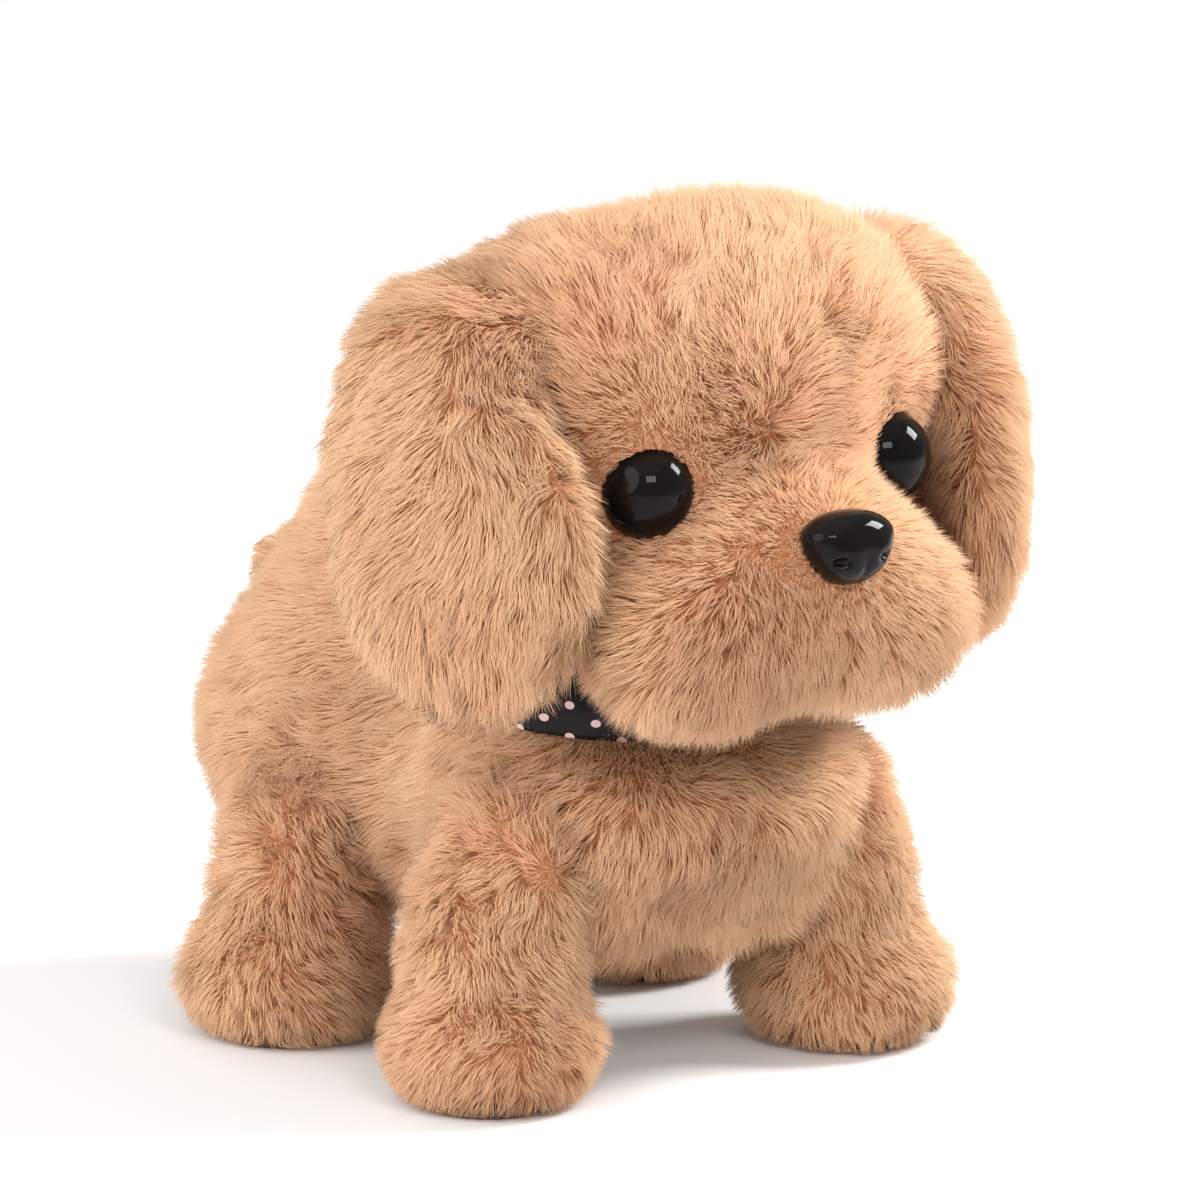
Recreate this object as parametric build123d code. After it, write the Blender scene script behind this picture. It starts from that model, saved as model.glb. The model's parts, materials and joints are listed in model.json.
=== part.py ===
"""Walking plush puppy: a battery gearbox swings four padded legs under a plush body.

Millimetres. +Z is up, the puppy faces -Y and its left side is +X. The origin is on the
floor, under the middle of the whole toy.
"""

import math
import os

from build123d import *

# ---------------------------------------------------------------- driving dimensions
Y_SHIFT = -3.0  # from the middle between the four feet to the middle of the whole toy

HIP_Y = 31.0  # the front hips are at -HIP_Y and the hind hips at +HIP_Y
HIP_Z = 44.0
LEG_SWING = 10.0  # degrees each way
LEVER_ARM = 14.0  # from a hip to the pin that its drive bar pushes
CRANK_THROW = LEVER_ARM * math.sin(math.radians(LEG_SWING))

CLEAR = 0.3  # between soft pieces that move past each other
RUNNING = 0.05  # radial clearance of a pin in its bore
WALL = 1.6  # moulded plastic wall

CHASSIS_X = 22.0  # half width
CHASSIS_FRONT = -37.0
CHASSIS_BACK = 46.0
CHASSIS_BOTTOM = 28.0
CHASSIS_TOP = 70.0
BAY_TOP = 46.0  # the battery box fills the chassis up to here
BELLY_Z = 27.0  # the plush ends here, round the exposed battery box

BAR_X = 26.0  # inner face of a drive bar
BAR_THICK = 2.0
BAR_Z = HIP_Z + LEVER_ARM
BAR_HALF_HEIGHT = 4.0
CAVITY_X = 28.3  # half width of the hollow that the chassis and drive bars sit in

LEG_INNER_X = 28.6
LEG_OUTER_X = 50.0
LEG_R = 19.0
AXLE_R = 1.5
PAW_X = 44.0
PAW_Z = 15.0
PAW_OUT = 2.0  # a paw's middle lies this far outside its hip, along Y
PAW_SEMI = (20.0, 22.5, 14.0)
SOLE_THICK = 2.5
SOLE_SEMI = (12.5, 14.5)
FOOT_Z = 6.0  # underside of the foot plate inside the paw
FOOT_PLATE = 2.0

PILE = 9.0  # plush skin with its fur
RUMP = ((0, 38, 58), (48, 50, 38))  # middle and half sizes of each rounded mass
BACK = ((0, 10, 94), (42, 48, 30))
CHEST = ((0, -24, 52), (46, 41, 26))
NECK_Y = -17.0
NECK_SEMI = (36.5, 32.0)
NECK_TOP = 84.0

HEAD = ((0, -38, 124), (53, 36, 46))
MUZZLE = ((0, -68, 96), (41, 22, 27))
SKULL_C = (0, -38, 121)
SKULL_R = 26.0
NOD_Y = -30.0
NOD_Z = 101.0
HEAD_RECESS_TOP = 92.0

EYE_C = (27.5, -62.5, 119.0)
EYE_R = 9.0
EYE_BACK = 2.0  # the dome is cut flat this far behind its middle
NOSE_C = (0, -87.0, 109.0)
NOSE_SEMI = (10.5, 6.5, 7.5)

EAR_HINGE = (43.0, -30.0, 152.5)
EAR_TURN = -28.0  # degrees, how the ear's outward side is turned towards the face
EAR_ROOT_R = 9.0
EAR_ROOT_HALF = 18.5
EAR_FORWARD = 6.0  # the ear's middle lies this far in front of its hinge's middle
EAR_SEMI = (26.5, 42.0)
EAR_MID_DROP = 33.0

TAIL_ROOT = (0, 75, 80)
TAIL_TIP = (0, 91, 74)
TAIL_R = 8.5
TAIL_WAG = 20.0

EYE_STEM_R = 2.0
EYE_STEM = 10.0
WASHER_R = 6.0
WASHER_THICK = 1.2

MODULE = 0.6
PRESSURE = math.radians(25)
PINION_TEETH = 12
IDLER_TEETH = 30
CRANK_TEETH = 32
CRANK_Y = 0.0
IDLER_Y = CRANK_Y + MODULE * (CRANK_TEETH + PINION_TEETH) / 2
MOTOR_Y = IDLER_Y + MODULE * (IDLER_TEETH + PINION_TEETH) / 2
GEAR_Z = BAR_Z

CELL_R = 7.2
CELL_LENGTH = 50.5
CELL_X = 7.6
CELL_Z = 37.0

DOOR_HALF = (17.0, 29.0)
DOOR_THICK = 1.8
DOOR_TONGUE = 3.0  # the door's screw tab reaches this much further back
SWITCH_Y = 38.5
SPEAKER_Y = -23.5

SCREW_SPOTS = ((-20.0, 52.0), (38.5, 66.0), (-33.0, 65.0))  # y and z of the shells' screws
SCREW_R = 1.0
SCREW_HEAD_R = 2.0

BAND_HEIGHT = 12.0
BAND_GAP = 0.3
BAND_THICK = 1.0


# ---------------------------------------------------------------- shape helpers
def box(x0, x1, y0, y1, z0, z1):
    """A box between two corners."""
    middle = Pos((x0 + x1) / 2, (y0 + y1) / 2, (z0 + z1) / 2)
    return middle * Box(x1 - x0, y1 - y0, z1 - z0)


def x_cylinder(x0, x1, y, z, radius):
    """A cylinder along X."""
    face = Plane(origin=(x0, y, z), x_dir=(0, 1, 0), z_dir=(1, 0, 0)) * Circle(radius)
    return extrude(face, amount=x1 - x0)


def y_cylinder(x, y, z, radius, length):
    """A cylinder along Y about its middle."""
    return Pos(x, y, z) * Rotation(90, 0, 0) * Cylinder(radius, length)


def z_cylinder(x, y, z0, z1, radius):
    """A cylinder along Z."""
    return Pos(x, y, (z0 + z1) / 2) * Cylinder(radius, z1 - z0)


def ellipsoid(middle, semi, grow=0.0):
    """A ball stretched to three half sizes, its seam turned away from the cuts."""
    sizes = tuple(half + grow for half in semi)
    return Pos(*middle) * scale(Rotation(0, 0, 45) * Sphere(1), by=sizes)


def capsule(start, end, radius):
    """A round-ended rod."""
    start = Vector(*start)
    end = Vector(*end)
    along = end - start
    rod = extrude(Plane(origin=start, z_dir=along) * Circle(radius), amount=along.length)
    ends = Pos(start) * Sphere(radius) + Pos(end) * Sphere(radius)
    return rod + ends


def bored(shape, bores):
    """A shape with each bore cut out."""
    return shape - list(bores)


def turned(shape, point, axis, degrees):
    """A shape turned about an axis through a point."""
    return shape.rotate(Axis(point, axis), degrees)


def mirrored(shape):
    """The same piece for the other side."""
    return mirror(shape, about=Plane.YZ)


def involute(radius, base):
    """How far an involute has turned at a radius."""
    angle = math.acos(base / radius)
    return math.tan(angle) - angle


def gear(teeth, x0, x1, y, z, bore, tooth_at=0.0, backlash=0.1):
    """A spur gear along X, with one tooth pointing tooth_at degrees up from +Y."""
    pitch = MODULE * teeth / 2
    base = pitch * math.cos(PRESSURE)
    root = pitch - 1.15 * MODULE
    tip = pitch + 0.8 * MODULE
    half = math.pi / (2 * teeth) - backlash / (2 * pitch)
    start = max(root, base)
    flank = [start + (tip - start) * step / 3 for step in range(4)]
    outline = []
    for tooth in range(teeth):
        middle = math.radians(tooth_at) + 2 * math.pi * tooth / teeth
        side = []
        for radius in flank:
            side.append((radius, half + involute(pitch, base) - involute(radius, base)))
        side.insert(0, (root, side[0][1]) if root < base else (root, side[0][1] + 0.01))
        for radius, angle in side:
            outline.append((radius, middle - angle))
        for radius, angle in reversed(side):
            outline.append((radius, middle + angle))
    points = [(r * math.cos(a), r * math.sin(a)) for r, a in outline]
    face = make_face(Polyline(*points, close=True))
    place = Plane(origin=(x0, y, z), x_dir=(0, 1, 0), z_dir=(1, 0, 0))
    wheel = extrude(place * face, amount=x1 - x0)
    return wheel - x_cylinder(x0 - 1, x1 + 1, y, z, bore)


parts = {}


# ---------------------------------------------------------------- legs
def paw_y(hip_y):
    """Where a paw's middle lies along Y."""
    return hip_y + math.copysign(PAW_OUT, hip_y)


def leg_frame(hip_y):
    """Left leg frame: hub, lever up to the drive bar, strut and foot plate."""
    plate = (LEG_INNER_X + 1.2, LEG_INNER_X + 3.8)
    hub = x_cylinder(plate[0] - 0.9, plate[1] + 1.2, hip_y, HIP_Z, 5.0)
    lever = box(*plate, hip_y - 3.0, hip_y + 3.0, HIP_Z, BAR_Z)
    lever_end = x_cylinder(*plate, hip_y, BAR_Z, 3.0)
    pin = x_cylinder(BAR_X - 0.8, plate[0] + 0.5, hip_y, BAR_Z, AXLE_R)
    strut = box(*plate, hip_y - 4.5, hip_y + 4.5, FOOT_Z, HIP_Z)
    foot_y = paw_y(hip_y)
    foot = box(plate[0], PAW_X + 9.0, foot_y - 11.0, foot_y + 11.0, FOOT_Z, FOOT_Z + FOOT_PLATE)
    whole = hub + lever + lever_end + pin + strut + foot
    return whole - x_cylinder(plate[0] - 5, plate[1] + 5, hip_y, HIP_Z, AXLE_R + RUNNING)


def sole_pad(hip_y):
    """Left rubber sole, an ellipse with a rounded lower edge."""
    outline = Pos(PAW_X, paw_y(hip_y), 0) * Ellipse(*SOLE_SEMI)
    pad = extrude(outline, amount=SOLE_THICK)
    return chamfer(pad.edges().sort_by(Axis.Z)[0], 1.2)


def leg_outside(hip_y):
    """Left leg: a round thigh turning about the hip, a shin and a paw."""
    thigh = x_cylinder(LEG_INNER_X, LEG_OUTER_X, hip_y, HIP_Z, LEG_R)
    thigh = fillet(thigh.edges().sort_by(Axis.X)[-1], 7.0)
    top = Pos(LEG_INNER_X + 9.0, hip_y, HIP_Z) * Ellipse(8.6, 15.5)
    ankle = Pos(PAW_X - 0.3, (hip_y + paw_y(hip_y)) / 2, PAW_Z) * Ellipse(14.0, 16.5)
    shin = loft([ankle, top])
    paw = ellipsoid((PAW_X, paw_y(hip_y), PAW_Z), PAW_SEMI)
    return thigh + shin + paw


def leg_pieces(name, hip_y):
    """The three pieces of one left leg."""
    frame = leg_frame(hip_y)
    pad = sole_pad(hip_y)
    head_room = x_cylinder(LEG_INNER_X - 1, LEG_INNER_X + 7.2, hip_y, HIP_Z, 5.4)
    cover = bored(leg_outside(hip_y), [head_room, frame, pad])
    return {
        f"{name}_leg_cover": cover,
        f"{name}_leg_frame": frame,
        f"{name}_sole_pad": pad,
    }


for end, hip_y in (("front", -HIP_Y), ("hind", HIP_Y)):
    for name, shape in leg_pieces(f"left_{end}", hip_y).items():
        parts[name] = shape
        parts[name.replace("left", "right")] = mirrored(shape)

# Headed pins that the legs swing on, fixed in the chassis walls.
left_pins = []
for hip_y in (-HIP_Y, HIP_Y):
    shank = x_cylinder(CHASSIS_X - 6.0, LEG_INNER_X + 5.3, hip_y, HIP_Z, AXLE_R)
    rivet = x_cylinder(LEG_INNER_X + 5.3, LEG_INNER_X + 6.5, hip_y, HIP_Z, 3.0)
    left_pins.append(shank + rivet)
hip_pins = left_pins + [mirrored(pin) for pin in left_pins]
parts["hip_axles"] = Compound([pin.solid() for pin in hip_pins])


# ---------------------------------------------------------------- drive train
def drive_bar():
    """Left bar that joins both levers, with an upright slot at each pin."""
    half = HIP_Y + 5.0
    bar = box(
        BAR_X,
        BAR_X + BAR_THICK,
        -half,
        half,
        BAR_Z - BAR_HALF_HEIGHT,
        BAR_Z + BAR_HALF_HEIGHT,
    )
    slot_half = AXLE_R + 0.1
    cuts = []
    for slot_y, rise in ((-HIP_Y, 2.4), (HIP_Y, 2.4), (CRANK_Y, CRANK_THROW + 0.3)):
        low = BAR_Z - rise
        cuts.append(
            box(BAR_X - 1, BAR_X + 4, slot_y - slot_half, slot_y + slot_half, low, BAR_Z + rise)
        )
    return bored(bar, cuts)


parts["left_drive_bar"] = drive_bar()
parts["right_drive_bar"] = mirrored(drive_bar())


def crank_disc(x_in, x_out, pin_tip, pin_z):
    """A disc on the end of the crankshaft, with its off-centre pin."""
    disc = x_cylinder(x_in, x_out, CRANK_Y, GEAR_Z, 5.5)
    pin = x_cylinder(x_out, pin_tip, CRANK_Y, pin_z, 1.2)
    return disc + pin - x_cylinder(x_in - 1, x_in + 1.2, CRANK_Y, GEAR_Z, AXLE_R)


DISC_IN = CHASSIS_X + 0.4
DISC_OUT = DISC_IN + 1.8
PIN_TIP = BAR_X - CLEAR
parts["left_crank_disc"] = crank_disc(DISC_IN, DISC_OUT, PIN_TIP, GEAR_Z + CRANK_THROW)
parts["right_crank_disc"] = mirrored(
    crank_disc(DISC_IN, DISC_OUT, PIN_TIP, GEAR_Z - CRANK_THROW)
)
parts["crankshaft"] = x_cylinder(-DISC_IN - 1.2, DISC_IN + 1.2, CRANK_Y, GEAR_Z, AXLE_R)
parts["crank_gear"] = gear(CRANK_TEETH, 12.4, 15.4, CRANK_Y, GEAR_Z, AXLE_R)

HALF_TOOTH = 180.0 / PINION_TEETH
IDLER_AXLE_R = 1.0
parts["idler_axle"] = x_cylinder(-CHASSIS_X + 0.4, CHASSIS_X - 0.4, IDLER_Y, GEAR_Z, IDLER_AXLE_R)
idler_wheel = gear(IDLER_TEETH, 8.4, 11.4, IDLER_Y, GEAR_Z, IDLER_AXLE_R + RUNNING)
idler_pinion = gear(
    PINION_TEETH, 11.4, 16.4, IDLER_Y, GEAR_Z, IDLER_AXLE_R + RUNNING, 180 + HALF_TOOTH
)
parts["idler_gear"] = idler_wheel + idler_pinion

MOTOR_SHAFT_R = 1.0
parts["motor_pinion"] = gear(
    PINION_TEETH, 8.0, 12.0, MOTOR_Y, GEAR_Z, MOTOR_SHAFT_R, 180 + HALF_TOOTH
)
parts["motor_shaft"] = x_cylinder(-17.0, 12.6, MOTOR_Y, GEAR_Z, MOTOR_SHAFT_R)

MOTOR_HALF = (10.05, 7.55)
can = box(
    -19.0,
    4.6,
    MOTOR_Y - MOTOR_HALF[0],
    MOTOR_Y + MOTOR_HALF[0],
    GEAR_Z - MOTOR_HALF[1],
    GEAR_Z + MOTOR_HALF[1],
)
can = fillet(can.edges().filter_by(Axis.X), 5.0)
collar = x_cylinder(4.6, 6.2, MOTOR_Y, GEAR_Z, 3.0)
shaft_room = x_cylinder(-18.0, 7.0, MOTOR_Y, GEAR_Z, MOTOR_SHAFT_R + RUNNING)
motor = can + collar - shaft_room
parts["motor_end_cap"] = motor & box(-20, -16.5, 0, 60, 40, 80)
parts["motor_can"] = motor & box(-16.5, 8, 0, 60, 40, 80)

# ---------------------------------------------------------------- chassis
chassis = box(-CHASSIS_X, CHASSIS_X, CHASSIS_FRONT, CHASSIS_BACK, CHASSIS_BOTTOM, CHASSIS_TOP)
chassis = fillet(chassis.edges().filter_by(Axis.Z), 4.0)
chassis_room = box(
    -CHASSIS_X + WALL,
    CHASSIS_X - WALL,
    CHASSIS_FRONT + WALL,
    CHASSIS_BACK - WALL,
    CHASSIS_BOTTOM - 1,
    CHASSIS_TOP - WALL,
)
chassis = chassis - chassis_room
for hip_y in (-HIP_Y, HIP_Y):
    for side in (-1, 1):
        ends = sorted((side * (CHASSIS_X - 6.0), side * CHASSIS_X))
        chassis = chassis + x_cylinder(*ends, hip_y, HIP_Z, 4.0)
    chassis = chassis - x_cylinder(-CHASSIS_X - 1, -CHASSIS_X + 7, hip_y, HIP_Z, AXLE_R)
    chassis = chassis - x_cylinder(CHASSIS_X - 7, CHASSIS_X + 1, hip_y, HIP_Z, AXLE_R)
chassis = chassis - x_cylinder(-30, 30, CRANK_Y, GEAR_Z, AXLE_R + RUNNING)
chassis = chassis - parts["idler_axle"]
parts["chassis_left"] = chassis & box(0, 40, -60, 60, 0, 100)
parts["chassis_right"] = chassis & box(-40, 0, -60, 60, 0, 100)

# The battery box closes the chassis from below. Its bay opens downwards.
FIT = 0.15
BAY_BOTTOM = CHASSIS_BOTTOM - 1.0
bay = box(
    -CHASSIS_X + WALL + FIT,
    CHASSIS_X - WALL - FIT,
    CHASSIS_FRONT + WALL + FIT,
    CHASSIS_BACK - WALL - FIT,
    BAY_BOTTOM,
    BAY_TOP,
)
BAY_HALF_Y = CELL_LENGTH / 2 + 2.4
bay_room = box(-15.4, 15.4, -BAY_HALF_Y, BAY_HALF_Y, BAY_BOTTOM - 1, BAY_TOP - WALL)
door_seat = box(
    -DOOR_HALF[0] - 0.3,
    DOOR_HALF[0] + 0.3,
    -DOOR_HALF[1] - 0.3,
    DOOR_HALF[1] + DOOR_TONGUE + 0.3,
    BAY_BOTTOM - 1,
    BAY_BOTTOM + DOOR_THICK,
)
switch_slot = box(-4.2, 4.2, SWITCH_Y - 2.0, SWITCH_Y + 2.0, BAY_BOTTOM - 1, BAY_BOTTOM + 2)
switch_room = box(-7.0, 7.0, SWITCH_Y - 4.0, SWITCH_Y + 4.0, BAY_BOTTOM + 1.6, BAY_TOP + 1)
hip_room = []
for hip_y in (-HIP_Y, HIP_Y):
    for side in (-1, 1):
        ends = sorted((side * 14.9, side * 23.0))
        hip_room.append(box(*ends, hip_y - 4.2, hip_y + 4.2, HIP_Z - 4.2, BAY_TOP + 1))
SCREW_Y = DOOR_HALF[1] + 0.2
boss_hole = z_cylinder(0, SCREW_Y, CHASSIS_BOTTOM - 2, CHASSIS_BOTTOM + 7.2, 1.5)
bay_cuts = [bay_room, door_seat, switch_slot, switch_room, boss_hole]
parts["battery_box"] = bored(bay, bay_cuts + hip_room)

CELL_NUB = 1.2
cells = []
for side in (-1, 1):
    tube = y_cylinder(side * CELL_X, 0, CELL_Z, CELL_R, CELL_LENGTH - CELL_NUB)
    nub_y = side * (CELL_LENGTH - CELL_NUB / 2) / 2
    nub = y_cylinder(side * CELL_X, nub_y, CELL_Z, 2.6, CELL_NUB)
    cells.append((tube + nub).solid())
parts["battery_cells"] = Compound(cells)

contacts = []
for side in (-1, 1):
    plate_y = side * (BAY_HALF_Y - 0.25)
    for cell_side in (-1, 1):
        middle = cell_side * CELL_X
        plate = box(middle - 5.5, middle + 5.5, plate_y - 0.25, plate_y + 0.25, 31.5, 43.5)
        contacts.append(plate.solid())
parts["battery_contacts"] = Compound(contacts)

door = box(
    -DOOR_HALF[0],
    DOOR_HALF[0],
    -DOOR_HALF[1],
    DOOR_HALF[1] + DOOR_TONGUE,
    BAY_BOTTOM,
    BAY_BOTTOM + DOOR_THICK - 0.1,
)
door = fillet(door.edges().filter_by(Axis.Z), 2.0)
for groove in range(5):
    groove_y = -20.0 + 2.4 * groove
    door = door - box(-7.0, 7.0, groove_y, groove_y + 1.1, BAY_BOTTOM - 1, BAY_BOTTOM + 0.4)
door_hole = z_cylinder(0, SCREW_Y, CHASSIS_BOTTOM - 2, CHASSIS_BOTTOM + 2, 1.25)
head_seat = z_cylinder(0, SCREW_Y, CHASSIS_BOTTOM - 2, CHASSIS_BOTTOM - 0.1, 2.3)
parts["battery_door"] = bored(door, [door_hole, head_seat])

screw = z_cylinder(0, SCREW_Y, CHASSIS_BOTTOM - 0.9, CHASSIS_BOTTOM - 0.1, 2.2)
screw = screw + z_cylinder(0, SCREW_Y, CHASSIS_BOTTOM - 0.2, CHASSIS_BOTTOM + 6.2, 1.2)
cross = box(-1.4, 1.4, SCREW_Y - 0.3, SCREW_Y + 0.3, BAY_BOTTOM - 1, BAY_BOTTOM + 0.4)
cross = cross + box(-0.3, 0.3, SCREW_Y - 1.4, SCREW_Y + 1.4, BAY_BOTTOM - 1, BAY_BOTTOM + 0.4)
parts["door_screw"] = screw - cross

housing = box(-6.6, 6.6, SWITCH_Y - 3.6, SWITCH_Y + 3.6, BAY_BOTTOM + 1.8, BAY_BOTTOM + 8.0)
housing_slot = box(-4.4, 4.4, SWITCH_Y - 1.4, SWITCH_Y + 1.4, BAY_BOTTOM + 1, BAY_BOTTOM + 4.4)
parts["switch_housing"] = housing - housing_slot
knob_y = (SWITCH_Y - 1.2, SWITCH_Y + 1.2)
parts["switch_knob"] = box(-3.9, -0.3, *knob_y, BAY_BOTTOM - 0.3, BAY_BOTTOM + 4.0)

# Circuit board and speaker, above the battery box at the front of the chassis.
parts["circuit_board"] = box(-15.0, 15.0, -34.0, -13.0, BAY_TOP + 0.6, BAY_TOP + 2.2)
speaker_rim = z_cylinder(0, SPEAKER_Y, 64.0, CHASSIS_TOP - WALL - 0.1, 10.5)
speaker_cone = Pos(0, SPEAKER_Y, 61.5) * Cone(5.5, 9.5, 5.0)
speaker_magnet = z_cylinder(0, SPEAKER_Y, 56.0, 59.0, 6.0)
parts["speaker"] = speaker_rim + speaker_cone + speaker_magnet

screws = []
screw_holes = []
for screw_y, screw_z in SCREW_SPOTS:
    shank = x_cylinder(8.0, CHASSIS_X - WALL, screw_y, screw_z, SCREW_R)
    head = x_cylinder(CHASSIS_X - WALL, CHASSIS_X - 0.4, screw_y, screw_z, SCREW_HEAD_R)
    screws.append((shank + head).solid())
    screw_holes.append(x_cylinder(19.0, 23.0, screw_y, screw_z, SCREW_HEAD_R))
parts["chassis_left"] = bored(parts["chassis_left"], screw_holes)
parts["chassis_screws"] = Compound(screws)

# ---------------------------------------------------------------- neck and tail mounts
NECK_BASE = CHASSIS_TOP
bracket = box(-6.0, 6.0, NOD_Y - 4.0, NOD_Y + 4.0, NECK_BASE, NOD_Z)
bracket = bracket + x_cylinder(-6.0, 6.0, NOD_Y, NOD_Z, 4.0)
bracket = bracket + box(-11.0, 11.0, NOD_Y - 5.0, NOD_Y + 18.0, NECK_BASE, NECK_BASE + 2.0)
fork_gap = box(-3.2, 3.2, NOD_Y - 8, NOD_Y + 8, NOD_Z - 6.5, NOD_Z + 6)
parts["neck_bracket"] = bored(bracket, [fork_gap, x_cylinder(-8, 8, NOD_Y, NOD_Z, AXLE_R)])
parts["neck_pin"] = x_cylinder(-6.8, 6.8, NOD_Y, NOD_Z, AXLE_R)

lever = x_cylinder(-2.9, 2.9, NOD_Y, NOD_Z, 4.5)
lever = lever + box(-2.9, 2.9, NOD_Y - 3.5, NOD_Y + 3.5, NOD_Z, 142.0)
lever = lever - x_cylinder(-8, 8, NOD_Y, NOD_Z, AXLE_R + RUNNING)
skull_inside = Pos(*SKULL_C) * Sphere(SKULL_R - WALL)
parts["neck_lever"] = lever & (skull_inside + box(-9, 9, -50, -10, 90, 120))

tail_plate = box(-5.0, 5.0, CHASSIS_BACK, 72.0, 62.0, 65.0)
tail_plate = tail_plate + z_cylinder(0, TAIL_ROOT[1], 62.0, 65.0, 5.0)
tail_plate = tail_plate + box(-7, 7, CHASSIS_BACK, 48.0, 58, 69)
tail_plate = tail_plate - z_cylinder(0, TAIL_ROOT[1], 60, 70, AXLE_R)
parts["tail_bracket"] = tail_plate
parts["tail_pin"] = z_cylinder(0, TAIL_ROOT[1], 62.0, TAIL_ROOT[2] + 3.0, AXLE_R)


# ---------------------------------------------------------------- body plush
def body_masses(inset):
    """The rounded body, this much inside the fur's outline."""
    shape = ellipsoid(*RUMP, -inset) + ellipsoid(*BACK, -inset) + ellipsoid(*CHEST, -inset)
    neck = Pos(0, NECK_Y, 60) * Ellipse(NECK_SEMI[0] - inset, NECK_SEMI[1] - inset)
    return shape + extrude(neck, amount=NECK_TOP - inset / 2 - 60)


def leg_pocket(hip_y):
    """Room for a left leg over its whole swing."""
    round_room = x_cylinder(CAVITY_X - 0.1, 70, hip_y, HIP_Z, LEG_R + 0.5)
    wide = LEG_R + 0.5
    low = Polyline(
        (-wide, 0),
        (-wide - 5, -HIP_Z + 22),
        (wide + 5, -HIP_Z + 22),
        (wide, 0),
        close=True,
    )
    place = Plane(origin=(CAVITY_X - 0.1, hip_y, HIP_Z), x_dir=(0, 1, 0), z_dir=(1, 0, 0))
    return round_room + extrude(place * make_face(low), amount=45)


bar_room_y = HIP_Y + 5.0 + CRANK_THROW + 0.6
cavity = box(
    -CHASSIS_X - 0.3,
    CHASSIS_X + 0.3,
    CHASSIS_FRONT - 0.3,
    CHASSIS_BACK + 0.3,
    10,
    CHASSIS_TOP + 0.3,
)
bar_room = box(-CAVITY_X, CAVITY_X, -bar_room_y, bar_room_y, BAR_Z - 6.0, BAR_Z + 6.0)
cuts = [cavity, bar_room, box(-80, 80, -120, 120, 0, BELLY_Z)]
for hip_y in (-HIP_Y, HIP_Y):
    pocket = leg_pocket(hip_y)
    cuts.append(pocket)
    cuts.append(mirrored(pocket))
    cuts.append(x_cylinder(-CAVITY_X - 1, CAVITY_X + 1, hip_y, HIP_Z, AXLE_R + 0.5))
cuts.append(box(-12.0, 12.0, NOD_Y - 11.5, NOD_Y + 18.5, CHASSIS_TOP, 130))
cuts.append(box(-7.5, 7.5, CHASSIS_BACK, 72.0, 57.5, 69.5))
cuts.append(box(-5.5, 5.5, 69.0, TAIL_ROOT[1] + 5.5, 57.5, TAIL_ROOT[2]))
cuts.append(ellipsoid(HEAD[0], HEAD[1], 6.0))
cuts.append(ellipsoid(MUZZLE[0], MUZZLE[1], 0.8))


def tail_shape(grow=0.0):
    """The tail, from its hinge to its tip."""
    return capsule(TAIL_ROOT, TAIL_TIP, TAIL_R + grow)


tail_room_r = TAIL_R + 0.8
tail_room_long = 30.0
tail_room_wide = tail_room_r + tail_room_long * math.tan(math.radians(TAIL_WAG + 2.0))
along_tail = Plane(origin=TAIL_ROOT, z_dir=Vector(*TAIL_TIP) - Vector(*TAIL_ROOT))
fan = Pos(0, 0, tail_room_long / 2) * Cone(tail_room_r, tail_room_wide, tail_room_long)
cuts.append(along_tail * fan + Pos(*TAIL_ROOT) * Sphere(tail_room_r + 0.2))

outside = body_masses(0)
inside = body_masses(PILE)
parts["body_cover"] = bored(outside, [inside] + cuts)
parts["body_padding"] = bored(inside, cuts)

parts["tail_core"] = bored(
    capsule(TAIL_ROOT, TAIL_TIP, 3.0) + z_cylinder(0, TAIL_ROOT[1], 74.0, 84.0, 4.0),
    [z_cylinder(0, TAIL_ROOT[1], 60, TAIL_ROOT[2] + 3.2, AXLE_R + RUNNING)],
)
parts["tail_cover"] = tail_shape() - capsule(TAIL_ROOT, TAIL_TIP, 3.0) - z_cylinder(
    0, TAIL_ROOT[1], 60, 84.0, 4.0
)


# ---------------------------------------------------------------- neckerchief
band_low = NECK_TOP - BAND_HEIGHT - 1.0


def neck_ring(grow, z0, z1):
    """An upright elliptical block round the neck."""
    outline = Pos(0, NECK_Y, z0) * Ellipse(NECK_SEMI[0] + grow, NECK_SEMI[1] + grow)
    return extrude(outline, amount=z1 - z0)


band = neck_ring(BAND_GAP + BAND_THICK, band_low, band_low + BAND_HEIGHT)
band = band - neck_ring(BAND_GAP, band_low - 1, band_low + BAND_HEIGHT + 1)
band = band - ellipsoid(*RUMP, 0.2) - ellipsoid(*BACK, 0.2) - ellipsoid(*CHEST, 0.2)
parts["neckerchief"] = band


# ---------------------------------------------------------------- ears
def ear_blade():
    """Left ear in its own frame: hinge along Y at the origin, outward along X."""
    outer = Spline((0, EAR_ROOT_R), (17, 5.5), (29, -13), (33.2, -38), (31, -62), (25.5, -75))
    under = Line((25.5, -75), (19, -75))
    inner = Spline((19, -75), (17.4, -56), (16.6, -36), (15.4, -20), (12.4, -10), (8, -4))
    back = Polyline((8, -4), (0, 0), (0, EAR_ROOT_R))
    side = Plane.XZ * make_face(outer + under + inner + back)
    slab = extrude(side, amount=40, both=True)
    place = Plane(origin=(0, 0, 0), x_dir=(0, 1, 0), z_dir=(1, 0, 0))
    outline = place * Pos(-EAR_FORWARD, -EAR_MID_DROP) * Ellipse(*EAR_SEMI)
    blade = slab & extrude(outline, amount=60, both=True)
    return blade + ear_root(0.0)


def ear_root(gap):
    """The round edge that the left ear turns on, or with a gap the groove for it."""
    along = Pos(0, -EAR_FORWARD, 0) * Rotation(90, 0, 0)
    return along * Cylinder(EAR_ROOT_R + gap, 2 * (EAR_ROOT_HALF + gap))


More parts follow.
